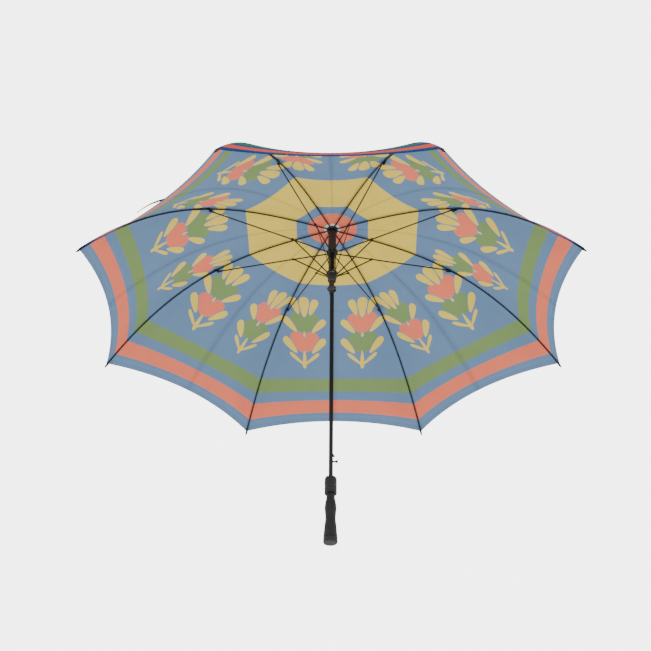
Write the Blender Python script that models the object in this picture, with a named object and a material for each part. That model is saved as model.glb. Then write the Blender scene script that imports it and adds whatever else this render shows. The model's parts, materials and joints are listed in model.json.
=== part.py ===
"""Auto-opening stick umbrella with eight ribs, in metres, +Z up along the shaft.

The origin is the centre of the flat face under the handle. Each rib folds about its pivot at the crown, the
stretcher hangs from the rib joint and is as long as the rib's inner half, so the runner stays on the shaft all
the way. Ribs lie at half a sector from +X and then every sector. In a rib's own plane, points are (out, up).
"""

import math

import bmesh
import bpy
from mathutils import Vector

for old in list(bpy.data.objects):
    bpy.data.objects.remove(old, do_unlink=True)

# Overall sizes
RIB_COUNT = 8
SECTOR = 2 * math.pi / RIB_COUNT
HALF = SECTOR / 2
SPAN_RADIUS = 0.520
TIP_HEIGHT = 0.506
CANOPY_RISE = 0.210
CROWN_HEIGHT = TIP_HEIGHT + CANOPY_RISE
GAP = 0.0003

# Shaft
SHAFT_RADIUS = 0.0040
SHAFT_WALL = 0.0006
SHAFT_OVER_CROWN = 0.012
BORE_RADIUS = SHAFT_RADIUS + GAP
SHAFT_SIDES = 20
TURN_SIDES = 24

# Pivot rings of the crown and of both runners
PIVOT_RADIUS = 0.0105
RING_RADIUS = 0.0115
RING_HALF = 0.0040
CROWN_RING_TOP = 0.0020
GROOVE_HALF = 0.00085
GROOVE_FLOOR = 0.0096
WIRE_RADIUS = 0.0005
EYE_RADIUS = 0.0019
EYE_HALF = 0.0006
EYE_HOLE = WIRE_RADIUS + 0.00035
SLOT_FLOOR = PIVOT_RADIUS - EYE_RADIUS - GAP
TONGUE_REACH = 0.0065
TONGUE_HALF = 0.0013
ROD_START = 0.0052

# Ribs
RIB_RADIUS = 0.0015
ROD_SIDES = 6
JOINT_OUT = 0.2634
JOINT_DROP = 0.0040
TONGUE_END = 0.0016
CLIP_START = 0.0026
CLIP_LENGTH = 0.031
CLIP_RADIUS = 0.0020
PIN_RADIUS = 0.0011
PIN_HOLE = PIN_RADIUS + 0.00035
JOINT_EYE = 0.0030
JOINT_EYE_HALF = 0.0008
CHEEK = 0.0015
CHEEK_IN = JOINT_EYE_HALF + GAP
TIP_RADIUS = 0.0024
TIP_LENGTH = 0.008

# Stretchers and struts
STRETCHER_RADIUS = 0.0014
STRUT_REACH = 0.078
RUNNER_SPREAD = 0.0553
BOSS_RADIUS = 0.0024
BOSS_HALF = 0.00155
STRUT_IN = BOSS_HALF + GAP
STRUT_THICK = 0.0010
STRUT_PIN = 0.0007
STRUT_PIN_HOLE = STRUT_PIN + 0.00035

# Runners, spring, catch and button
UPPER_SLEEVE_RADIUS = 0.0082
LOWER_BODY_RADIUS = 0.0087
LOWER_BODY_DROP = 0.0165
LOWER_NECK_RADIUS = 0.0061
LOWER_BALL_RADIUS = 0.0100
LOWER_BALL_DROP = 0.0365
LOWER_DROP = 0.0490
SPRING_RADIUS = 0.0068
SPRING_WIRE = 0.0008
SPRING_TURNS = 9
CATCH_HEIGHT = 0.1794
CATCH_REACH = 0.0075
CATCH_HALF = 0.0010
BUTTON_HEIGHT = 0.1668
BUTTON_REACH = 0.0130
BUTTON_STEM = 0.0016
BUTTON_HEAD = 0.0039

# Handle
CAP_TOP = 0.0100
GRIP_TOP = 0.0987
COLLAR_TOP = 0.1322
COLLAR_RADIUS = 0.0114
FLARE_RADIUS = 0.0131
WAIST_RADIUS = 0.0095
BULGE_RADIUS = 0.0110
NECK_RADIUS = 0.0077

# Canopy
FABRIC_RADIUS = 0.514
FABRIC_HOLE = 0.0055
FABRIC_OVER = 0.0030
FABRIC_THICK = 0.0008
CROWN_LIFT = 0.0003
HEM_RISE = 0.016
HEM_SCALLOP = 0.029
GORE_POWER = 2.6
GORE_GAP = 0.0002
ROSETTE_RADIUS = 0.0185
ROSETTE_BASE = 0.0023
ROSETTE_THICK = 0.0006
CAP_RADIUS = 0.0150
FERRULE_LENGTH = 0.060
STRAP_WIDTH = 0.020
STRAP_OVER = 0.0043
STRAP_THICK = 0.0008
STRAP_SECTOR = 4
STRAP_SEWN = (0.450, 0.93)
STRAP_FREE = (0.500, 0.68)
STRAP_ARCH = 0.0095


def rib_height(out):
    """Height of a rib's centre line, this far from the shaft."""
    u = max(0.0, out - PIVOT_RADIUS) / (SPAN_RADIUS - PIVOT_RADIUS)
    return CROWN_HEIGHT - CANOPY_RISE * u**3


def rib_slope(out):
    """Angle of the rib below the horizontal, in radians."""
    u = max(0.0, out - PIVOT_RADIUS) / (SPAN_RADIUS - PIVOT_RADIUS)
    return math.atan(3 * CANOPY_RISE * u**2 / (SPAN_RADIUS - PIVOT_RADIUS))


# The rib joint's pin hangs below the rib, and the stretcher mirrors the rib's inner half about its height
JOINT_SLOPE = rib_slope(JOINT_OUT)
JOINT = (JOINT_OUT, rib_height(JOINT_OUT + JOINT_DROP * math.sin(JOINT_SLOPE))
         - JOINT_DROP * math.cos(JOINT_SLOPE))
JOINT_ROD = JOINT_OUT + JOINT_DROP * math.sin(JOINT_SLOPE)
CROWN = (PIVOT_RADIUS, CROWN_HEIGHT)
RUNNER = (PIVOT_RADIUS, 2 * JOINT[1] - CROWN_HEIGHT)
ARM = math.dist(CROWN, JOINT)
REST_ANGLE = math.atan2(CROWN[1] - JOINT[1], JOINT[0] - CROWN[0])
STRETCHER_ANGLE = math.pi + REST_ANGLE
KNEE = (RUNNER[0] + STRUT_REACH * math.cos(REST_ANGLE), RUNNER[1] + STRUT_REACH * math.sin(REST_ANGLE))
STRUT_SIDE = STRUT_IN + STRUT_THICK / 2
LOWER = (math.sqrt(PIVOT_RADIUS**2 - STRUT_SIDE**2), RUNNER[1] - RUNNER_SPREAD)
STRUT = math.dist(KNEE, LOWER)
STRUT_ANGLE = math.atan2(LOWER[1] - KNEE[1], LOWER[0] - KNEE[0])


def ring_at(count, radius, centre, start=0.0, sweep=2 * math.pi):
    """Points on an arc in a plane, both ends in where it isn't a whole turn."""
    steps = count if abs(sweep - 2 * math.pi) < 1e-9 else count - 1
    angles = [start + sweep * i / steps for i in range(count)]
    return [(centre[0] + radius * math.cos(a), centre[1] + radius * math.sin(a)) for a in angles]


def placed(points, origin, angle):
    """Points of a piece's own plane, turned by an angle and moved to an origin in the rib's plane."""
    c, s = math.cos(angle), math.sin(angle)
    return [(origin[0] + x * c - y * s, origin[1] + x * s + y * c) for x, y in points]


def mesh_from(points, faces):
    mesh = bpy.data.meshes.new("shape")
    mesh.from_pydata(points, [], faces)
    work = bmesh.new()
    work.from_mesh(mesh)
    bmesh.ops.recalc_face_normals(work, faces=work.faces)
    work.to_mesh(mesh)
    work.free()
    return mesh


def turned(profile, sides=TURN_SIDES):
    """Solid of revolution about Z. The profile is a closed loop of (radius, height); radius 0 is on the axis."""
    points, rows, faces = [], [], []
    for radius, height in profile:
        first = len(points)
        if radius < 1e-9:
            points.append((0, 0, height))
            rows.append([first] * sides)
            continue
        for x, y in ring_at(sides, radius, (0, 0)):
            points.append((x, y, height))
        rows.append(list(range(first, first + sides)))
    for low, high in zip(rows, rows[1:] + rows[:1]):
        for i in range(sides):
            corners = [low[i], low[(i + 1) % sides], high[(i + 1) % sides], high[i]]
            face = list(dict.fromkeys(corners))
            if len(face) > 2:
                faces.append(face)
    return mesh_from(points, faces)


def swept(path, radii, sides=ROD_SIDES, side_axis=(0, 1, 0)):
    """Round bar along a path of 3-D points, with a radius at each."""
    path = [Vector(p) for p in path]
    points, faces = [], []
    for i, point in enumerate(path):
        along = (path[min(i + 1, len(path) - 1)] - path[max(i - 1, 0)]).normalized()
        across = Vector(side_axis)
        across = (across - along * across.dot(along)).normalized()
        other = along.cross(across)
        for x, y in ring_at(sides, radii[i], (0, 0)):
            points.append(point + across * x + other * y)
    for i in range(len(path) - 1):
        for j in range(sides):
            k = (j + 1) % sides
            faces.append((i * sides + j, i * sides + k, (i + 1) * sides + k, (i + 1) * sides + j))
    faces.append(tuple(range(sides)))
    faces.append(tuple(range(len(points) - sides, len(points))))
    return mesh_from(points, faces)


def slab(outline, side_from, side_to):
    """Flat plate: an outline in the rib's plane, between two distances beside that plane."""
    count = len(outline)
    points = [(x, side_from, z) for x, z in outline] + [(x, side_to, z) for x, z in outline]
    faces = [(i, (i + 1) % count, count + (i + 1) % count, count + i) for i in range(count)]
    faces += [tuple(range(count)), tuple(range(count, 2 * count))]
    return mesh_from(points, faces)


def disc(centre, radius, side_from, side_to, sides=10):
    return slab(ring_at(sides, radius, centre), side_from, side_to)


def box(low, high):
    outline = [(low[0], low[2]), (high[0], low[2]), (high[0], high[2]), (low[0], high[2])]
    return slab(outline, low[1], high[1])


def temporary(mesh):
    helper = bpy.data.objects.new("helper", mesh)
    bpy.context.scene.collection.objects.link(helper)
    helper.hide_render = True
    helper.display_type = "WIRE"
    return helper


def united(base, added=(), cut=()):
    """One mesh: the base joined with the added shapes, less the cut ones."""
    body = temporary(base)
    helpers = []
    for operation, shapes in (("UNION", added), ("DIFFERENCE", cut)):
        for shape in shapes:
            helpers.append(temporary(shape))
            modifier = body.modifiers.new(operation, "BOOLEAN")
            modifier.operation = operation
            modifier.solver = "EXACT"
            modifier.object = helpers[-1]
    graph = bpy.context.evaluated_depsgraph_get()
    made = bpy.data.meshes.new_from_object(body.evaluated_get(graph))
    for helper in [body, *helpers]:
        bpy.data.objects.remove(helper, do_unlink=True)
    return made


def paint(name, colour, roughness, metallic=0.0):
    material = bpy.data.materials.new(name)
    material.use_nodes = True
    shader = material.node_tree.nodes["Principled BSDF"]
    shader.inputs["Base Color"].default_value = (*colour, 1)
    shader.inputs["Roughness"].default_value = roughness
    shader.inputs["Metallic"].default_value = metallic
    material.diffuse_color = (*colour, 1)
    return material


BLACK_STEEL = paint("black_coated_steel", (0.012, 0.012, 0.014), 0.35, 0.6)
BLACK_PLASTIC = paint("black_moulded_plastic", (0.022, 0.022, 0.024), 0.5)
SOFT_GRIP = paint("black_soft_grip", (0.015, 0.015, 0.017), 0.65)
ZINC_WIRE = paint("zinc_wire", (0.45, 0.46, 0.48), 0.3, 1.0)
BLUE_CLOTH = paint("blue_canopy_cloth", (0.162, 0.262, 0.402), 0.85)
WHITE_CLOTH = paint("white_rosette_cloth", (0.8, 0.8, 0.8), 0.9)
MUSTARD_CLOTH = paint("mustard_strap_cloth", (0.6, 0.45, 0.13), 0.9)


def node(name, mesh, material, origin=(0, 0, 0), turn=0.0):
    """A named piece whose mesh is in the plane of azimuth 0, measured from its origin there."""
    piece = bpy.data.objects.new(name, mesh)
    bpy.context.scene.collection.objects.link(piece)
    c, s = math.cos(turn), math.sin(turn)
    piece.location = (origin[0] * c - origin[1] * s, origin[0] * s + origin[1] * c, origin[2])
    piece.rotation_euler = (0, 0, turn)
    if not mesh.materials:
        mesh.materials.append(material)
        mesh.shade_smooth()
        mesh.set_sharp_from_angle(angle=math.radians(35))
    return piece


def about(mesh, pivot):
    """The mesh measured from a pivot in the rib's plane."""
    for vertex in mesh.vertices:
        vertex.co.x -= pivot[0]
        vertex.co.z -= pivot[1]
    return mesh


def rib_turn(index):
    return HALF + index * SECTOR


def eye(centre, radius, reach, half, angle, side_from, side_to, back=math.radians(35)):
    """Plate with a round end about a pivot, and a tongue that leaves it at an angle."""
    outline = ring_at(9, radius, (0, 0), back, 2 * math.pi - 2 * back)
    outline += [(reach, -half), (reach, half)]
    return slab(placed(outline, centre, angle), side_from, side_to)


def rib_path(start, end, steps):
    outs = [start + (end - start) * i / steps for i in range(steps + 1)]
    return [(out, 0, rib_height(out)) for out in outs]


def inner_rib_mesh():
    root_eye = eye(CROWN, EYE_RADIUS, TONGUE_REACH, TONGUE_HALF, 0, -EYE_HALF, EYE_HALF)
    path = rib_path(PIVOT_RADIUS + ROD_START, JOINT_ROD - TONGUE_END * math.cos(JOINT_SLOPE), 8)
    rod = swept(path, [RIB_RADIUS] * len(path))
    reach = JOINT_DROP - 0.0008
    outline = ring_at(10, JOINT_EYE, (0, 0), math.pi, math.radians(260)) + [(0.0006, reach), (-JOINT_EYE, reach)]
    tongue = slab(placed(outline, JOINT, -JOINT_SLOPE), -JOINT_EYE_HALF, JOINT_EYE_HALF)
    holes = [disc(CROWN, EYE_HOLE, -0.01, 0.01), disc(JOINT, PIN_HOLE, -0.01, 0.01)]
    return about(united(rod, [root_eye, tongue], holes), CROWN)


def outer_rib_mesh():
    start = JOINT_ROD + CLIP_START * math.cos(JOINT_SLOPE)
    sleeve = rib_path(start, start + CLIP_LENGTH, 2)
    bare = rib_path(start + CLIP_LENGTH + 0.0005, SPAN_RADIUS - TIP_LENGTH - 0.0005, 9)
    tip = rib_path(SPAN_RADIUS - TIP_LENGTH, SPAN_RADIUS, 2)
    radii = [CLIP_RADIUS] * len(sleeve) + [RIB_RADIUS] * len(bare) + [TIP_RADIUS, TIP_RADIUS, TIP_RADIUS * 0.5]
    rod = swept(sleeve + bare + tip, radii)
    outline = ring_at(9, JOINT_EYE, (0, 0), math.radians(100), math.radians(235))
    outline += [(0.009, JOINT_DROP - 0.0016), (0.009, JOINT_DROP + 0.0012), (0.0022, JOINT_DROP + 0.0012)]
    cheek = slab(placed(outline, JOINT, -JOINT_SLOPE), CHEEK_IN, CHEEK_IN + CHEEK)
    pin = disc(JOINT, PIN_RADIUS, -CHEEK_IN - CHEEK - GAP, CHEEK_IN + CHEEK / 2)
    return about(united(rod, [cheek, pin]), JOINT)


def stretcher_mesh():
    """The stretcher's bar runs beside the rib joint's tongue and moves over to the runner's slot."""
    side = -(CHEEK_IN + CHEEK / 2)
    stations = [(0.0055, side), (ARM - STRUT_REACH - 0.015, 0.0), (ARM - ROD_START, 0.0)]
    flat = placed([(x, 0) for x, _ in stations], JOINT, STRETCHER_ANGLE)
    path = [(x, y, z) for (x, z), (_, y) in zip(flat, stations)]
    bar = swept(path, [STRETCHER_RADIUS] * len(path))
    joint_eye = eye(JOINT, JOINT_EYE, 0.009, TONGUE_HALF, STRETCHER_ANGLE, -CHEEK_IN - CHEEK, -CHEEK_IN)
    runner_eye = eye(RUNNER, EYE_RADIUS, TONGUE_REACH, TONGUE_HALF, REST_ANGLE, -EYE_HALF, EYE_HALF)
    trunnion = disc(RUNNER, 0.0006, -0.0023, 0.0003)
    boss = disc(KNEE, BOSS_RADIUS, -BOSS_HALF, BOSS_HALF)
    holes = [disc(JOINT, PIN_HOLE, -0.01, 0.01), disc(KNEE, STRUT_PIN_HOLE, -0.01, 0.01)]
    return about(united(bar, [joint_eye, runner_eye, trunnion, boss], holes), JOINT)


def strut_mesh():
    """Flat bar beside the stretcher, with a round end at each pivot and a pin through the stretcher's boss."""
    turn = math.radians(42)
    near = ring_at(7, EYE_RADIUS, (0, 0), turn, 2 * math.pi - 2 * turn)
    far = ring_at(7, EYE_RADIUS, (STRUT, 0), math.pi + turn, 2 * math.pi - 2 * turn)
    plate = slab(placed(near + far, KNEE, STRUT_ANGLE), STRUT_IN, STRUT_IN + STRUT_THICK)
    pin = disc(KNEE, STRUT_PIN, -BOSS_HALF - GAP, STRUT_SIDE)
    return about(united(plate, [pin], [disc(LOWER, EYE_HOLE, -0.01, 0.01)]), KNEE)


def ring_profile(level, low, high):
    """Outer edge of a pivot ring with its groove, from the bottom up."""
    return [(RING_RADIUS, level + low), (RING_RADIUS, level - GROOVE_HALF), (GROOVE_FLOOR, level - GROOVE_HALF),
            (GROOVE_FLOOR, level + GROOVE_HALF), (RING_RADIUS, level + GROOVE_HALF), (RING_RADIUS, level + high)]


def slots(level, low, high, side_from, side_to):
    """Cutters for a pivot ring's slots, one for each rib."""
    cutters = []
    for index in range(RIB_COUNT):
        cutter = box((SLOT_FLOOR, side_from, level + low), (RING_RADIUS + 0.002, side_to, level + high))
        c, s = math.cos(rib_turn(index)), math.sin(rib_turn(index))
        for vertex in cutter.vertices:
            x, y = vertex.co.x, vertex.co.y
            vertex.co.x, vertex.co.y = x * c - y * s, x * s + y * c
        cutters.append(cutter)
    return cutters


def crown_notch():
    level = CROWN_HEIGHT
    profile = [(BORE_RADIUS, level - RING_HALF)] + ring_profile(level, -RING_HALF, CROWN_RING_TOP)
    profile += [(BORE_RADIUS, level + CROWN_RING_TOP)]
    cutters = slots(level, -RING_HALF - 0.001, CROWN_RING_TOP + 0.001, -EYE_HALF - GAP, EYE_HALF + GAP)
    node("crown_notch", united(turned(profile), cut=cutters), BLACK_PLASTIC)


def pivot_wire(name, level):
    path = ring_at(TURN_SIDES, PIVOT_RADIUS, (0, 0))
    profile = ring_at(6, WIRE_RADIUS, (PIVOT_RADIUS, level))
    node(name, turned(profile, len(path)), ZINC_WIRE)


def upper_runner():
    level = RUNNER[1]
    profile = [(BORE_RADIUS, level - RING_HALF)] + ring_profile(level, -RING_HALF, RING_HALF)
    top = CROWN_HEIGHT - RING_HALF - GAP
    profile += [(UPPER_SLEEVE_RADIUS, level + RING_HALF), (UPPER_SLEEVE_RADIUS, top - 0.001),
                (UPPER_SLEEVE_RADIUS - 0.001, top), (BORE_RADIUS, top)]
    cutters = slots(level, -RING_HALF - 0.001, RING_HALF + 0.001, -EYE_HALF - GAP, STRUT_IN + STRUT_THICK + GAP)
    node("upper_runner", united(turned(profile), cut=cutters), BLACK_PLASTIC)


def opening_spring():
    top = RUNNER[1] - RING_HALF - GAP - SPRING_WIRE
    bottom = LOWER[1] + RING_HALF + GAP + SPRING_WIRE
    steps = SPRING_TURNS * 10
    path = []
    for i in range(steps + 1):
        angle = 2 * math.pi * SPRING_TURNS * i / steps
        height = bottom + (top - bottom) * i / steps
        path.append((SPRING_RADIUS * math.cos(angle), SPRING_RADIUS * math.sin(angle), height))
    node("opening_spring", swept(path, [SPRING_WIRE] * len(path), 5, (0, 0, 1)), BLACK_STEEL)


def lower_runner():
    level = LOWER[1]
    ball = level - LOWER_BALL_DROP
    profile = [(BORE_RADIUS, level - LOWER_DROP), (LOWER_NECK_RADIUS - 0.0006, level - LOWER_DROP)]
    profile += [(LOWER_NECK_RADIUS - 0.0006, ball - 0.0060), (LOWER_BALL_RADIUS - 0.0012, ball - 0.0028)]
    profile += [(LOWER_BALL_RADIUS, ball), (LOWER_BALL_RADIUS - 0.0012, ball + 0.0028)]
    profile += [(LOWER_NECK_RADIUS, ball + 0.0060), (LOWER_NECK_RADIUS, level - LOWER_BODY_DROP - 0.002)]
    profile += [(LOWER_BODY_RADIUS, level - LOWER_BODY_DROP), (LOWER_BODY_RADIUS, level - RING_HALF)]
    profile += ring_profile(level, -RING_HALF, RING_HALF) + [(BORE_RADIUS, level + RING_HALF)]
    cutters = slots(level, -RING_HALF + 0.0003, RING_HALF + 0.001, STRUT_IN - GAP, STRUT_IN + STRUT_THICK + GAP)
    button_slot = BUTTON_HEAD + 0.0004
    slot_top = level - (CATCH_HEIGHT - BUTTON_HEIGHT) - 0.0003
    cutters += [box((0.003, -CATCH_HALF - 0.0004, level - LOWER_DROP - 0.001),
                    (CATCH_REACH + 0.0004, CATCH_HALF + 0.0004, level + RING_HALF + 0.001)),
                box((0.002, -button_slot, level - LOWER_DROP - 0.001), (0.014, button_slot, slot_top))]
    node("lower_runner", united(turned(profile), cut=cutters), BLACK_PLASTIC)


def shaft_tube():
    inner = SHAFT_RADIUS - SHAFT_WALL
    low, high = CAP_TOP + 0.0005, CROWN_HEIGHT + SHAFT_OVER_CROWN
    profile = [(inner, low), (SHAFT_RADIUS, low), (SHAFT_RADIUS, high), (inner, high)]
    cutters = [box((0.002, -CATCH_HALF - GAP, CATCH_HEIGHT - 0.0029), (0.006, CATCH_HALF + GAP, CATCH_HEIGHT + 0.0045)),
               box((0.002, -BUTTON_STEM - GAP, BUTTON_HEIGHT - BUTTON_STEM - GAP),
                   (0.006, BUTTON_STEM + GAP, BUTTON_HEIGHT + BUTTON_STEM + GAP))]
    node("shaft_tube", united(turned(profile, SHAFT_SIDES), cut=cutters), BLACK_STEEL)


def runner_catch():
    outline = [(0.0005, -0.0026), (CATCH_REACH, -0.0026), (CATCH_REACH, -0.0018),
               (SHAFT_RADIUS + 0.0002, 0.0042), (0.0005, 0.0042)]
    node("runner_catch", slab(outline, -CATCH_HALF, CATCH_HALF), BLACK_STEEL, (0, 0, CATCH_HEIGHT))


def release_button():
    profile = [(0, 0.001), (BUTTON_STEM, 0.001), (BUTTON_STEM, 0.0076), (BUTTON_STEM + 0.0007, 0.0100),
               (BUTTON_HEAD, 0.0122), (BUTTON_HEAD, BUTTON_REACH - 0.0003), (0, BUTTON_REACH)]
    mesh = turned(profile, 14)
    for vertex in mesh.vertices:
        x, y, z = vertex.co
        vertex.co = (z, y, -x)
    node("release_button", mesh, BLACK_PLASTIC, (0, 0, BUTTON_HEIGHT))


def handle():
    collar = [(BORE_RADIUS, GRIP_TOP + GAP), (COLLAR_RADIUS - 0.001, GRIP_TOP + GAP),
              (COLLAR_RADIUS, GRIP_TOP + 0.0015), (COLLAR_RADIUS, COLLAR_TOP - 0.002),
              (COLLAR_RADIUS - 0.002, COLLAR_TOP), (BORE_RADIUS, COLLAR_TOP)]
    node("handle_collar", turned(collar), BLACK_PLASTIC)
    grip = [(BORE_RADIUS, CAP_TOP + GAP), (FLARE_RADIUS - 0.0004, CAP_TOP + GAP), (FLARE_RADIUS - 0.0007, 0.018),
            (0.0112, 0.034), (WAIST_RADIUS, 0.0504), (0.0102, 0.060), (BULGE_RADIUS, 0.0685), (0.0104, 0.077),
            (0.0086, 0.086), (NECK_RADIUS, 0.0935), (NECK_RADIUS, GRIP_TOP), (BORE_RADIUS, GRIP_TOP)]
    node("handle_grip", turned(grip), SOFT_GRIP)
    cap = [(0, 0), (FLARE_RADIUS - 0.0008, 0), (FLARE_RADIUS, 0.0012), (FLARE_RADIUS, CAP_TOP), (0, CAP_TOP)]
    node("handle_end_cap", turned(cap), BLACK_PLASTIC)


def crown_fittings():
    base = CROWN_HEIGHT + ROSETTE_BASE
    rosette = [(BORE_RADIUS, base), (ROSETTE_RADIUS, base), (ROSETTE_RADIUS, base + ROSETTE_THICK),
               (BORE_RADIUS, base + ROSETTE_THICK)]
    node("crown_rosette", turned(rosette), WHITE_CLOTH)
    low = CROWN_HEIGHT + FABRIC_OVER + CROWN_LIFT + FABRIC_THICK + GAP
    cap = [(BORE_RADIUS, low), (CAP_RADIUS, low), (CAP_RADIUS, low + 0.001), (CAP_RADIUS - 0.003, low + 0.0035),
           (0.0075, low + 0.005), (BORE_RADIUS, low + 0.005)]
    node("crown_cap", turned(cap), BLACK_PLASTIC)
    foot = low + 0.005 + GAP
    bore_top = CROWN_HEIGHT + SHAFT_OVER_CROWN + GAP
    ferrule = [(BORE_RADIUS, foot), (0.0072, foot), (0.0068, foot + 0.006), (0.0052, foot + 0.030),
               (0.0038, foot + FERRULE_LENGTH - 0.003), (0.0026, foot + FERRULE_LENGTH - 0.0005),
               (0, foot + FERRULE_LENGTH), (0, bore_top), (BORE_RADIUS, bore_top)]
    node("top_ferrule", turned(ferrule, 20), BLACK_PLASTIC)


def cloth_point(out, across, over):
    """Point of the canopy in a rib's plane frame: the rib is across 0, the gores' middles are across -1 and 1."""
    w = abs(across)
    bow = 2 * w - w * w
    scallop = HEM_SCALLOP * (out / FABRIC_RADIUS) ** 3
    middle = out * math.cos(HALF) - scallop
    hem_middle = FABRIC_RADIUS * math.cos(HALF) - HEM_SCALLOP
    middle_height = CROWN_HEIGHT - (CANOPY_RISE - HEM_RISE) * (middle / hem_middle) ** GORE_POWER
    height = rib_height(out) + (middle_height - rib_height(out)) * bow
    x = out * (1 - w * math.sin(HALF) ** 2) - scallop * bow * math.cos(HALF)
    y = out * w * math.sin(HALF) * math.cos(HALF) - scallop * bow * math.sin(HALF)
    if w > 0.999:
        x += GORE_GAP * math.sin(HALF)
        y -= GORE_GAP * math.cos(HALF)
    fade = min(1.0, max(0.0, (0.05 - out) / 0.03))
    lift = over + CROWN_LIFT * fade
    slope = rib_slope(out)
    x += lift * math.sin(slope) * math.cos(w * HALF)
    y += lift * math.sin(slope) * math.sin(w * HALF)
    return (x, math.copysign(y, across), height + lift * math.cos(slope))


def strap_point(along, aside, over):
    """Point of the strap, from its sewn end at 0 to its free end at 1, which stands off the cloth."""
    out = STRAP_SEWN[0] + (STRAP_FREE[0] - STRAP_SEWN[0]) * along
    across = STRAP_SEWN[1] + (STRAP_FREE[1] - STRAP_SEWN[1]) * along
    width = out * math.sin(HALF) * math.cos(HALF)
    run = Vector((STRAP_FREE[0] - STRAP_SEWN[0], (STRAP_FREE[1] - STRAP_SEWN[1]) * width)).normalized()
    out -= run.y * aside * STRAP_WIDTH / 2
    across += run.x * aside * STRAP_WIDTH / 2 / width
    return cloth_point(out, across, over + STRAP_ARCH * math.sin(along * math.radians(130)))


def shell(point, rows, columns, over, thick):
    """Closed thin shell over a grid of stations, between two heights over the ribs."""
    points = [point(row, column, level) for level in (over, over + thick) for row in rows for column in columns]
    wide, layer = len(columns), len(rows) * len(columns)
    faces = []
    for i in range(len(rows) - 1):
        for j in range(wide - 1):
            a = i * wide + j
            cell = (a, a + 1, a + wide + 1, a + wide)
            faces.append(cell)
            faces.append(tuple(layer + k for k in reversed(cell)))
    edge = [j for j in range(wide)] + [i * wide + wide - 1 for i in range(1, len(rows))]
    edge += [(len(rows) - 1) * wide + j for j in range(wide - 2, -1, -1)]
    edge += [i * wide for i in range(len(rows) - 2, 0, -1)]
    for a, b in zip(edge, edge[1:] + edge[:1]):
        faces.append((a, b, layer + b, layer + a))
    return mesh_from(points, faces)


def canopy_rows():
    near = [FABRIC_HOLE, 0.020, 0.050]
    return near + [near[-1] + (FABRIC_RADIUS - near[-1]) * i / 11 for i in range(1, 12)]


def canopy_and_strap():
    columns = [i / 3 for i in range(-3, 4)]
    mesh = shell(cloth_point, canopy_rows(), columns, FABRIC_OVER, FABRIC_THICK)
    for index in range(RIB_COUNT):
        node(f"canopy_gore_{index + 1}", mesh, BLUE_CLOTH, turn=rib_turn(index))
    strap = shell(strap_point, [i / 6 for i in range(7)], [-1, 0, 1], STRAP_OVER, STRAP_THICK)
    node("tie_strap", strap, MUSTARD_CLOTH, turn=rib_turn(STRAP_SECTOR))


def frame():
    makers = (("inner_rib", inner_rib_mesh(), CROWN), ("outer_rib", outer_rib_mesh(), JOINT),
              ("stretcher", stretcher_mesh(), JOINT), ("strut", strut_mesh(), KNEE))
    for name, mesh, pivot in makers:
        for index in range(RIB_COUNT):
            node(f"{name}_{index + 1}", mesh, BLACK_STEEL, (pivot[0], 0, pivot[1]), rib_turn(index))


def main():
    shaft_tube()
    crown_notch()
    pivot_wire("crown_wire", CROWN_HEIGHT)
    crown_fittings()
    frame()
    upper_runner()
    opening_spring()
    lower_runner()
    pivot_wire("lower_runner_wire", LOWER[1])
    runner_catch()
    release_button()
    handle()
    canopy_and_strap()


main()
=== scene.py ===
"""Open auto-opening stick umbrella with a printed cloth canopy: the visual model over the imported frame.

Lengths are in metres. A panel is the cloth between two ribs. Its shader draws the print from two lengths: how
far out from the shaft a point lies along the panel's middle line, and how far to the side of that line it is.
"""

import json
import math

import bpy
from mathutils import Matrix, Vector

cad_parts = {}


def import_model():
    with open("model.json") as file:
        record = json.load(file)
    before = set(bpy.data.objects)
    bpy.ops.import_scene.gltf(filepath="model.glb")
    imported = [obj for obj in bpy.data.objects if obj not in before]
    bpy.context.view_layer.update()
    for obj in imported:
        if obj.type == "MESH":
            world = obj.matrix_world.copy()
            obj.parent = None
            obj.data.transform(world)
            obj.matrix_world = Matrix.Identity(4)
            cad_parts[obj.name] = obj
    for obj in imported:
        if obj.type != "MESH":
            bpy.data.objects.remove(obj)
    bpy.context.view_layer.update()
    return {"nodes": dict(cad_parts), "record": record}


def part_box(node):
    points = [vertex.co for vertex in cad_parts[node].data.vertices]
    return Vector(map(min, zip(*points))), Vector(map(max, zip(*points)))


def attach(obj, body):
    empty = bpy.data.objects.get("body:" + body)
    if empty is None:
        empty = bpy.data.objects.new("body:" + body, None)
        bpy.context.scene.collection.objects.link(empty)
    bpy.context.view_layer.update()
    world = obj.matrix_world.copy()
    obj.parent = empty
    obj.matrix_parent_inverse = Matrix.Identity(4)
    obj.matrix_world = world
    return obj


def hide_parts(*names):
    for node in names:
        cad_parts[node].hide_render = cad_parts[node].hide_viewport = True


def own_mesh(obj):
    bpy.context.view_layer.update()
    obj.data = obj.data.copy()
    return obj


RIBS = 8
SECTOR = 2 * math.pi / RIBS
HALF = SECTOR / 2
SPAN = 0.520
TIP_HEIGHT = 0.506
RISE = 0.210
CROWN = TIP_HEIGHT + RISE
PIVOT = 0.0105
JOINT_OUT = 0.2634
FABRIC = 0.514
HOLE = 0.0055
PATCH = 0.013
OVER = 0.0030
THICK = 0.0008
HEM_RISE = 0.016
SCALLOP = 0.029
GORE_POWER = 2.6
STRAP_RIB = 5
BORE = 0.0044
YARN_SCALE = 300.0

# How bright the room's light is, and how bright the backdrop is where the camera sees it
ROOM = 1.25
BACKDROP = 5.0

# The print. A sprig stands to each side of a panel's middle line, the disc has a radius, and the octagons and
# bands are distances from the shaft along that line.
SPRIG_SIDE = 0.064
CORAL_DISC = 0.051
BLUE_OCTAGON = 0.074
YELLOW_OCTAGON = 0.174
GREEN_BAND = (0.377, 0.3985)
CORAL_BAND = (0.413, 0.4325)


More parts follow.
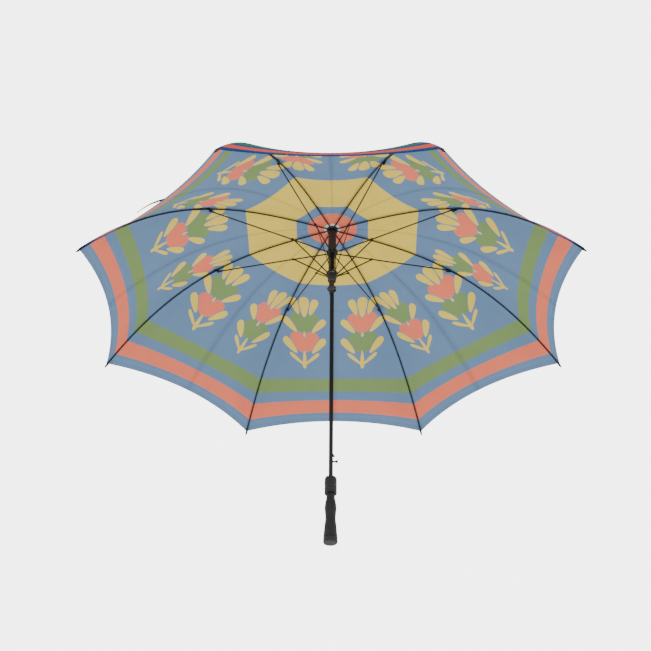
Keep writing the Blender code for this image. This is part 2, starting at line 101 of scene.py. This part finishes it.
def linear(code):
    """A hex sRGB colour as linear RGBA."""
    parts = [int(code[i:i + 2], 16) / 255 for i in (0, 2, 4)]
    return [c / 12.92 if c <= 0.04045 else ((c + 0.055) / 1.055) ** 2.4 for c in parts] + [1]


class Nodes:
    """A material's node tree, with a short way to add nodes. A value may be a number, a colour or a socket."""

    def __init__(self, name):
        self.material = bpy.data.materials.new(name)
        self.material.use_nodes = True
        self.tree = self.material.node_tree
        self.shader = self.tree.nodes["Principled BSDF"]

    def add(self, kind, inputs=(), **settings):
        made = self.tree.nodes.new(kind)
        for key, value in settings.items():
            setattr(made, key, value)
        for key, value in dict(inputs).items():
            self.put(made.inputs[key], value)
        return made

    def put(self, socket, value):
        if isinstance(value, bpy.types.NodeSocket):
            self.tree.links.new(value, socket)
        else:
            socket.default_value = value

    def calc(self, operation, *values):
        return self.add("ShaderNodeMath", enumerate(values), operation=operation).outputs[0]

    def within(self, value, low, high):
        above = self.calc("GREATER_THAN", value, low)
        return self.calc("MULTIPLY", above, self.calc("LESS_THAN", value, high))

    def over(self, base, colour, mask):
        mix = self.add("ShaderNodeMix", {0: mask, 6: base, 7: colour}, data_type="RGBA")
        return mix.outputs[2]

    def local(self, point, centre, size, tilt=0.0):
        """The point measured from a motif's centre, along its own axes, in units of its half sizes."""
        inputs = {"Vector": point, "Location": (*centre, 0), "Rotation": (0, 0, tilt), "Scale": (*size, 1)}
        return self.add("ShaderNodeMapping", inputs, vector_type="TEXTURE").outputs[0]

    def drop(self, point, blunt, tip, half, grow=0.0):
        """A teardrop between its blunt end and its tip, this half as wide, with a margin all round."""
        run = Vector(tip) - Vector(blunt)
        centre = (Vector(tip) + Vector(blunt)) / 2
        size = (half + grow, run.length / 2 + grow)
        split = self.add("ShaderNodeSeparateXYZ", {0: self.local(point, centre, size, math.atan2(-run.x, run.y))})
        taper = self.calc("MULTIPLY_ADD", split.outputs[1], 0.45, 1.0)
        x = self.calc("MULTIPLY", split.outputs[0], taper)
        length = self.calc("ADD", self.calc("POWER", x, 2.0), self.calc("POWER", split.outputs[1], 2.0))
        return self.calc("LESS_THAN", length, 1.0)

    def heart(self, point, centre, size):
        """A heart whose tip points to the hem."""
        split = self.add("ShaderNodeSeparateXYZ", {0: self.local(point, centre, size)})
        x2 = self.calc("MULTIPLY", split.outputs[0], split.outputs[0])
        y = self.calc("MULTIPLY", split.outputs[1], -1.0)
        y2 = self.calc("MULTIPLY", y, y)
        swell = self.calc("SUBTRACT", self.calc("ADD", x2, y2), 1.0)
        cube = self.calc("MULTIPLY", self.calc("MULTIPLY", swell, swell), swell)
        lobes = self.calc("MULTIPLY", x2, self.calc("MULTIPLY", y2, y))
        return self.calc("LESS_THAN", cube, lobes)

    def finish(self, **values):
        for key, value in values.items():
            self.put(self.shader.inputs[key.replace("_", " ")], value)
        return self.material


def cloth(name, blue, coral, green, yellow):
    """Printed plain-weave polyester: bands near the hem, two sprigs in each panel and octagons at the crown.

    Woven cloth is matt and scatters light, so it is rough and has little specular.
    """
    n = Nodes(name)
    uv = n.add("ShaderNodeSeparateXYZ", {0: n.add("ShaderNodeUVMap", uv_map="print").outputs[0]})
    u, v = uv.outputs[0], uv.outputs[1]
    side = n.calc("GREATER_THAN", u, 0.5)
    toward_middle = n.calc("ABSOLUTE", n.calc("SUBTRACT", n.calc("MULTIPLY", u, 2.0), 1.0))
    out = n.calc("MULTIPLY", v, FABRIC)
    across = n.calc("MULTIPLY", n.calc("MULTIPLY", out, math.sin(HALF)), n.calc("SUBTRACT", 1.0, toward_middle))
    bite = n.calc("MULTIPLY", n.calc("POWER", v, 3.0), SCALLOP)
    middle = n.calc("SUBTRACT", n.calc("MULTIPLY", out, math.cos(HALF)), bite)
    point = n.add("ShaderNodeCombineXYZ", {0: across, 1: middle}).outputs[0]
    aside = n.calc("ABSOLUTE", n.calc("SUBTRACT", across, SPRIG_SIDE))
    mirrored = n.add("ShaderNodeCombineXYZ", {0: aside, 1: middle}).outputs[0]

    colour = n.over(linear(blue), linear(yellow), n.calc("LESS_THAN", middle, YELLOW_OCTAGON))
    colour = n.over(colour, linear(blue), n.calc("LESS_THAN", middle, BLUE_OCTAGON))
    far = n.calc("ADD", n.calc("POWER", across, 2.0), n.calc("POWER", middle, 2.0))
    colour = n.over(colour, linear(coral), n.calc("LESS_THAN", far, CORAL_DISC**2))
    colour = n.over(colour, linear(green), n.within(middle, *GREEN_BAND))
    colour = n.over(colour, linear(coral), n.within(middle, *CORAL_BAND))
    hearts = [(0.3130, (0.0285, 0.0197), linear(coral), linear(green)),
              (0.2720, (0.0285, 0.0212), linear(green), linear(coral))]
    for height, size, left, right in hearts:
        rim = (size[0] + 0.0018, size[1] + 0.0018)
        colour = n.over(colour, linear(blue), n.heart(point, (SPRIG_SIDE, height), rim))
        colour = n.over(colour, n.over(left, right, side), n.heart(point, (SPRIG_SIDE, height), size))
    drops = [((0.0458, 0.2615), (0.0165, 0.2895), 0.0066), ((0.0458, 0.3025), (0.0165, 0.3305), 0.0066),
             ((0, 0.2985), (0, 0.2880), 0.0024), ((0, 0.3590), (0, 0.3260), 0.0040),
             ((0.0325, 0.3310), (0.0, 0.3530), 0.0030), ((0.0262, 0.2135), (0.0125, 0.2510), 0.0074),
             ((0, 0.2090), (0, 0.2565), 0.0098)]
    for blunt, tip, half in drops:
        colour = n.over(colour, linear(blue), n.drop(mirrored, blunt, tip, half, 0.0016))
    for blunt, tip, half in drops:
        colour = n.over(colour, linear(yellow), n.drop(mirrored, blunt, tip, half))
    # A row of stitches holds the hem, 6 mm from its edge and 3 mm apart
    step = n.calc("FRACT", n.calc("DIVIDE", across, 0.003))
    stitch = n.calc("MULTIPLY", n.within(v, 0.9865, 0.9885), n.calc("LESS_THAN", step, 0.66))
    colour = n.over(colour, linear("3C4A5C"), n.calc("MULTIPLY", stitch, 0.3))
    seam = n.calc("MULTIPLY", n.calc("GREATER_THAN", v, 0.9875), 0.04)
    colour = n.over(colour, linear("203048"), seam)
    # Yarns and soft puckers give the cloth its surface. A wave texture has a wave every 2 pi / 20 / scale, so the
    # yarns are drawn about 1 mm apart, which is coarser than real thread and shows only from near.
    place = n.add("ShaderNodeTexCoord").outputs["Object"]
    warp = n.add("ShaderNodeTexWave", {"Vector": point, "Scale": YARN_SCALE}, bands_direction="X")
    weft = n.add("ShaderNodeTexWave", {"Vector": point, "Scale": YARN_SCALE}, bands_direction="Y")
    yarns = n.calc("MULTIPLY", n.calc("ADD", warp.outputs["Fac"], weft.outputs["Fac"]), 0.5)
    pucker = n.add("ShaderNodeTexNoise", {"Vector": place, "Scale": 14.0, "Detail": 3.0}).outputs["Fac"]
    folds = n.add("ShaderNodeBump", {"Strength": 0.25, "Distance": 0.006, "Height": pucker}).outputs[0]
    bump = n.add("ShaderNodeBump", {"Strength": 0.12, "Distance": 0.0001, "Height": yarns, "Normal": folds})
    tone = n.add("ShaderNodeMapRange", {0: pucker, 1: 0.3, 2: 0.7, 3: 0.965, 4: 1.035}).outputs[0]
    shade = n.add("ShaderNodeVectorMath", {0: colour, 3: tone}, operation="SCALE").outputs[0]
    return n.finish(Base_Color=shade, Roughness=0.85, Specular_IOR_Level=0.1, Normal=bump.outputs[0])


def surface(name, colour, roughness, grain, spread, metallic=0.0, bump=0.0002):
    """A plain finish whose gloss and tone vary a little, with a fine grain this many times a metre."""
    n = Nodes(name)
    place = n.add("ShaderNodeTexCoord").outputs["Object"]
    noise = n.add("ShaderNodeTexNoise", {"Vector": place, "Scale": grain, "Detail": 5.0}).outputs["Fac"]
    wide = n.add("ShaderNodeTexNoise", {"Vector": place, "Scale": grain / 30, "Detail": 2.0}).outputs["Fac"]
    rough = n.add("ShaderNodeMapRange", {0: wide, 1: 0.3, 2: 0.7, 3: roughness - spread, 4: roughness + spread})
    tone = n.add("ShaderNodeMapRange", {0: noise, 1: 0.3, 2: 0.7, 3: 0.85, 4: 1.15}).outputs[0]
    shade = n.add("ShaderNodeVectorMath", {0: linear(colour)[:3], 3: tone}, operation="SCALE").outputs[0]
    relief = n.add("ShaderNodeBump", {"Strength": 0.3, "Distance": bump, "Height": noise}).outputs[0]
    return n.finish(Base_Color=shade, Roughness=rough.outputs[0], Metallic=metallic, Normal=relief)


def rib_height(out):
    """Height of a rib's middle line at a distance from the shaft."""
    u = max(0.0, out - PIVOT) / (SPAN - PIVOT)
    return CROWN - RISE * u**3


def rib_slope(out):
    """How steeply a rib falls there, in radians."""
    u = max(0.0, out - PIVOT) / (SPAN - PIVOT)
    return math.atan(3 * RISE * u**2 / (SPAN - PIVOT))


def cloth_point(out, across, over=OVER):
    """A point of the cloth, with the rib along X. across is 0 on the rib and 1 or -1 at a panel's middle."""
    w = abs(across)
    bow = 2 * w - w * w
    bite = SCALLOP * (out / FABRIC) ** 3
    middle = out * math.cos(HALF) - bite
    hem = FABRIC * math.cos(HALF) - SCALLOP
    low = CROWN - (RISE - HEM_RISE) * (middle / hem) ** GORE_POWER
    height = rib_height(out) + (low - rib_height(out)) * bow
    x = out * (1 - w * math.sin(HALF) ** 2) - bite * bow * math.cos(HALF)
    y = out * w * math.sin(HALF) * math.cos(HALF) - bite * bow * math.sin(HALF)
    slope = rib_slope(out)
    x += over * math.sin(slope) * math.cos(w * HALF)
    y += over * math.sin(slope) * math.sin(w * HALF)
    return Vector((x, math.copysign(max(y, 0.0), across), height + over * math.cos(slope)))


def turn(index):
    """A rib's frame, for ribs numbered from 1."""
    return Matrix.Rotation(HALF + (index - 1) * SECTOR, 4, "Z")


def make(name, points, faces, materials, matrix=Matrix(), angle=40):
    """A smooth-shaded piece whose edges stay sharp above an angle in degrees."""
    mesh = bpy.data.meshes.new(name)
    mesh.from_pydata(points, [], faces)
    for material in materials:
        mesh.materials.append(material)
    mesh.shade_smooth()
    mesh.set_sharp_from_angle(angle=math.radians(angle))
    obj = bpy.data.objects.new(name, mesh)
    bpy.context.scene.collection.objects.link(obj)
    obj.matrix_world = matrix
    return obj


def lathe(name, profile, material, sides=64, wobble=None, angle=40):
    """Solid of revolution from a closed (radius, height) loop. wobble(angle, height) scales the radius."""
    points, faces = [], []
    for i in range(sides):
        a = 2 * math.pi * i / sides
        for radius, height in profile:
            r = radius * (wobble(a, height) if wobble else 1)
            points.append((r * math.cos(a), r * math.sin(a), height))
    count = len(profile)
    for i in range(sides):
        j = (i + 1) % sides
        for k in range(count):
            m = (k + 1) % count
            faces.append((i * count + k, j * count + k, j * count + m, i * count + m))
    return make(name, points, faces, [material], angle=angle)


def rounded(profile, radius, steps=3):
    """A closed loop with its corners rounded."""
    made = []
    for i, point in enumerate(profile):
        here = Vector(point)
        before = Vector(profile[i - 1]) - here
        after = Vector(profile[(i + 1) % len(profile)]) - here
        reach = min(radius, before.length * 0.4, after.length * 0.4)
        start, end = here + before.normalized() * reach, here + after.normalized() * reach
        for k in range(steps + 1):
            t = k / steps
            made.append(tuple(start * (1 - t) ** 2 + here * 2 * t * (1 - t) + end * t**2))
    return made


def ranges(start, end, count):
    """Evenly spaced values from start to end, in this many steps."""
    return [start + (end - start) * i / count for i in range(count + 1)]


def half_gore(name, index, rows, materials):
    """Half of the cloth over one rib, mirrored across the rib and given its thickness."""
    columns = ranges(0.0, 1.0, 10)
    wide = len(columns)
    points = [cloth_point(out, across) for out in rows for across in columns]
    faces = [(i * wide + j, i * wide + j + 1, (i + 1) * wide + j + 1, (i + 1) * wide + j)
             for i in range(len(rows) - 1) for j in range(wide - 1)]
    obj = make(name, points, faces, materials, turn(index), angle=60)
    layer = obj.data.uv_layers.new(name="print")
    for loop in obj.data.loops:
        row, column = divmod(loop.vertex_index, wide)
        layer.data[loop.index].uv = (0.5 + 0.5 * columns[column], rows[row] / FABRIC)
    mirror = obj.modifiers.new("other half", "MIRROR")
    mirror.use_axis = (False, True, False)
    mirror.use_mirror_u = True
    mirror.merge_threshold = 0.00002
    shell = obj.modifiers.new("cloth", "SOLIDIFY")
    shell.thickness = THICK * 0.6
    shell.offset = -1
    shell.material_offset = 1
    shell.material_offset_rim = 1
    return obj, 2 * sum(p.area for p in obj.data.polygons)


def fold_flat(obj):
    """Gives the piece a mesh of its own. The real cloth gathers onto its rib as the rib closes, flattening across
    the rib and down toward its inside; this piece keeps its open shape.
    """
    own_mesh(obj)


def canopy(inside, outside):
    """The cloth: a ring clamped at the crown, and an inner and an outer piece over each rib."""
    patch = [(HOLE, CROWN + OVER), (PATCH, CROWN + OVER), (PATCH, CROWN + OVER + 0.0005),
             (HOLE, CROWN + OVER + 0.0005)]
    clamped = lathe("clamped_cloth", patch, outside)
    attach(clamped, "shaft")
    inner_rows = [PATCH, 0.02, 0.03] + ranges(0.04, JOINT_OUT - 0.001, 12) + [JOINT_OUT]
    outer_rows = [JOINT_OUT] + ranges(JOINT_OUT + 0.001, FABRIC, 16)
    for index in range(1, RIBS + 1):
        inner, inner_area = half_gore(f"gore_inner_{index}", index, inner_rows, [inside, outside])
        fold_flat(inner)
        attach(inner, f"inner_rib_{index}")
        outer, outer_area = half_gore(f"gore_outer_{index}", index, outer_rows, [inside, outside])
        fold_flat(outer)
        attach(outer, f"outer_rib_{index}")
        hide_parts(f"canopy_gore_{index}")


def spring(material):
    """The opening spring between the runners. The real spring shortens as the umbrella closes; this coil keeps its
    length and moves with the upper runner.
    """
    low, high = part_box("opening_spring")
    wire, radius, turns, sides = 0.0007, 0.0069, 14, 8
    points, faces = [], []
    steps = turns * 24
    for i in range(steps + 1):
        a = 2 * math.pi * turns * i / steps
        height = low[2] + wire + (high[2] - low[2] - 2 * wire) * i / steps
        for k in range(sides):
            b = 2 * math.pi * k / sides
            r = radius + wire * math.cos(b)
            points.append((r * math.cos(a), r * math.sin(a), height + wire * math.sin(b)))
    for i in range(steps):
        for k in range(sides):
            m = (k + 1) % sides
            faces.append((i * sides + k, i * sides + m, (i + 1) * sides + m, (i + 1) * sides + k))
    faces.append(tuple(reversed(range(sides))))
    faces.append(tuple(steps * sides + k for k in range(sides)))
    obj = make("spring_coil", points, faces, [material])
    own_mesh(obj)
    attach(obj, "upper_runner")
    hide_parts("opening_spring")


def grip(material):
    """Moulded grip with ten shallow flutes that fade out at its neck and its flare."""
    stations = [(0.0129, 0.0103), (0.0127, 0.0140), (0.0120, 0.0240), (0.0110, 0.0350), (0.0100, 0.0430),
                (0.0096, 0.0500), (0.0099, 0.0565), (0.0107, 0.0635), (0.0111, 0.0690), (0.0106, 0.0765),
                (0.0093, 0.0840), (0.0080, 0.0905), (0.0077, 0.0950), (0.0077, 0.0987)]

    def flutes(a, height):
        fade = min(1.0, max(0.0, (height - 0.014) / 0.012), max(0.0, (0.0935 - height) / 0.010))
        return 1 - 0.055 * max(fade, 0.0) * (0.5 + 0.5 * math.cos(10 * a)) ** 1.5

    outline = []
    for (r0, z0), (r1, z1) in zip(stations, stations[1:]):
        outline += [(r0 + (r1 - r0) * t, z0 + (z1 - z0) * t) for t in (0.0, 0.5)]
    outline.append(stations[-1])
    profile = [(BORE, 0.0103)] + outline + [(BORE, 0.0987)]
    obj = lathe("fluted_grip", profile, material, 120, flutes, 50)
    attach(obj, "shaft")
    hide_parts("handle_grip")


def turned_piece(name, node, body, profile, material, radius):
    """A lathed piece with rounded corners that stands for a node of the frame."""
    obj = lathe(name, rounded(profile, radius), material, 72)
    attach(obj, body)
    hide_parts(node)
    return obj


def handle(plastic):
    """The ridged collar above the grip and the cap under it."""
    collar = [(BORE, 0.0990), (0.0114, 0.0990), (0.0114, 0.1020), (0.0108, 0.1024), (0.0108, 0.1032),
              (0.0114, 0.1036), (0.0114, 0.1270), (0.0108, 0.1274), (0.0108, 0.1282), (0.0112, 0.1286),
              (0.0104, 0.1322), (BORE, 0.1322)]
    turned_piece("ridged_collar", "handle_collar", "shaft", collar, plastic, 0.0004)
    cap = [(0.00001, 0), (0.0123, 0), (0.0131, 0.0012), (0.0131, 0.0086), (0.0127, 0.0090), (0.0127, 0.0100),
           (0.00001, 0.0100)]
    turned_piece("grip_end_cap", "handle_end_cap", "shaft", cap, plastic, 0.0005)


def crown(plastic, white):
    """The scalloped rosette under the cloth, and the cap and ferrule over it."""
    low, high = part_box("crown_rosette")
    profile = [(BORE, low[2]), (0.0110, low[2]), (0.0185, low[2]),
               (0.0185, high[2]), (0.0110, high[2]), (BORE, high[2])]

    def scallops(a, height):
        return 1 - 0.08 * abs(math.sin(8 * a))

    obj = lathe("scalloped_rosette", profile, white, 160, scallops)
    # The bore stays round
    for vertex in obj.data.vertices:
        if math.hypot(vertex.co.x, vertex.co.y) < 0.006:
            vertex.co.xy = Vector((vertex.co.x, vertex.co.y)).normalized() * BORE
    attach(obj, "shaft")
    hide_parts("crown_rosette")
    low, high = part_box("crown_cap")
    base = low[2]
    cap = [(BORE, base), (0.0150, base), (0.0150, base + 0.0010), (0.0142, base + 0.0020), (0.0122, base + 0.0034),
           (0.0090, base + 0.0046), (0.0075, high[2]), (BORE, high[2])]
    turned_piece("domed_crown_cap", "crown_cap", "shaft", cap, plastic, 0.0004)
    low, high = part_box("top_ferrule")
    z = low[2]
    spike = [(BORE, z), (0.0072, z), (0.0070, z + 0.0055), (0.0062, z + 0.0065), (0.0060, z + 0.012),
             (0.0050, z + 0.034), (0.0046, z + 0.040), (0.0046, z + 0.0415), (0.0042, z + 0.0425),
             (0.0038, high[2] - 0.003), (0.0024, high[2] - 0.0006), (0.00001, high[2]), (0.00001, z + 0.012),
             (BORE, z + 0.006)]
    turned_piece("stepped_ferrule", "top_ferrule", "shaft", spike, plastic, 0.0005)


def strap(material):
    """Tie strap on the outside of the cloth, flat at its sewn end and standing off toward its free end."""
    sewn, free = Vector((0.450, 0.93)), Vector((0.500, 0.68))
    rows = ranges(0.0, 1.0, 24)
    points, faces = [], []
    for over in (0.0044, 0.0050):
        for along in rows:
            out, across = sewn.lerp(free, along)
            width = out * math.sin(HALF) * math.cos(HALF)
            run = Vector((free.x - sewn.x, (free.y - sewn.y) * width)).normalized()
            lift = over + 0.0095 * math.sin(along * math.radians(130))
            for aside in (-0.0100, -0.0090, 0.0090, 0.0100):
                points.append(cloth_point(out - run.y * aside, across + run.x * aside / width, lift))
    layer, wide = len(rows) * 4, 4
    for i in range(len(rows) - 1):
        for j in range(3):
            a = i * wide + j
            faces.append((a, a + wide, a + wide + 1, a + 1))
            faces.append((layer + a, layer + a + 1, layer + a + wide + 1, layer + a + wide))
        a = i * wide
        faces.append((a, layer + a, layer + a + wide, a + wide))
        faces.append((a + 3, a + 3 + wide, layer + a + 3 + wide, layer + a + 3))
    last = (len(rows) - 1) * wide
    for j in range(3):
        faces.append((j, j + 1, layer + j + 1, layer + j))
        faces.append((last + j, layer + last + j, layer + last + j + 1, last + j + 1))
    obj = make("sewn_tie_strap", points, faces, [material], turn(STRAP_RIB))
    fold_flat(obj)
    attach(obj, f"outer_rib_{STRAP_RIB}")
    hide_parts("tie_strap")


def camera_and_light():
    """Seen from below and in front, in an even white room."""
    scene = bpy.context.scene
    world = bpy.data.worlds.new("white room")
    world.use_nodes = True
    # The backdrop is lit harder than the room, so that it is brighter than the cloth in front of it
    tree = world.node_tree
    path = tree.nodes.new("ShaderNodeLightPath")
    power = tree.nodes.new("ShaderNodeMapRange")
    power.inputs[3].default_value = ROOM
    power.inputs[4].default_value = BACKDROP
    tree.links.new(path.outputs["Is Camera Ray"], power.inputs[0])
    tree.links.new(power.outputs[0], tree.nodes["Background"].inputs[1])
    tree.nodes["Background"].inputs[0].default_value = (1, 1, 1, 1)
    scene.world = world
    data = bpy.data.cameras.new("camera")
    data.sensor_width = 36.0
    data.lens = 80.8
    data.clip_end = 50
    camera = bpy.data.objects.new("camera", data)
    scene.collection.objects.link(camera)
    tilt, turned, roll, distance = math.radians(35.3), math.radians(0.72), math.radians(0.36), 2.912
    aim = Matrix.Translation((0, 0, TIP_HEIGHT)) @ Matrix.Rotation(turned, 4, "Z")
    level = Matrix.Rotation(math.radians(90) + tilt, 4, "X") @ Matrix.Rotation(roll, 4, "Z")
    camera.matrix_world = aim @ level @ Matrix.Translation((0, 0, distance))
    # The umbrella stands a little off the middle of the view, by these shares of its width
    data.shift_x = -0.00968
    data.shift_y = -0.01966
    scene.camera = camera


def main():
    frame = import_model()
    # The print is paler on its wrong side, and the inside colours are made paler still as painted light shining
    # through the cloth
    inside = cloth("printed polyester, wrong side, paler with painted light", "7090B4", "FF8466", "83A064", "F8DA5E")
    outside = cloth("printed polyester, right side", "1C4078", "D65038", "24704A", "C8A832")
    # Coated steel and nylon are black with a soft gloss, and the grip's soft finish is duller
    steel = surface("black coated spring steel", "131315", 0.38, 900.0, 0.08, 0.3)
    plastic = surface("black moulded nylon", "101011", 0.48, 1400.0, 0.08)
    grey = surface("dark grey moulded nylon", "2B2B2D", 0.5, 1400.0, 0.08)
    soft = surface("matte black soft-touch grip", "0D0D0E", 0.62, 2200.0, 0.06)
    # Zinc plating is bright and a little clouded
    wire = surface("zinc-plated wire", "A8AAAD", 0.3, 900.0, 0.06, 1.0)
    # The rosette and the strap are matt cloth
    white = surface("white polyester rosette", "F2F2F0", 0.85, 2600.0, 0.04)
    mustard = surface("olive-yellow strap cloth", "A8982E", 0.85, 2600.0, 0.04)
    finishes = {"coated_steel": steel, "moulded_plastic": plastic, "soft_grip": soft, "wire": wire,
                "canopy_cloth": inside, "rosette_cloth": white, "strap_cloth": mustard}
    slots = {part["node"]: part["material_slot"] for part in frame["record"]["subparts"]}
    for name, obj in frame["nodes"].items():
        chosen = grey if name in ("upper_runner", "lower_runner") else finishes[slots[name]]
        obj.data.materials.clear()
        obj.data.materials.append(chosen)
    canopy(inside, outside)
    spring(steel)
    grip(soft)
    handle(plastic)
    crown(plastic, white)
    strap(mustard)
    camera_and_light()


main()
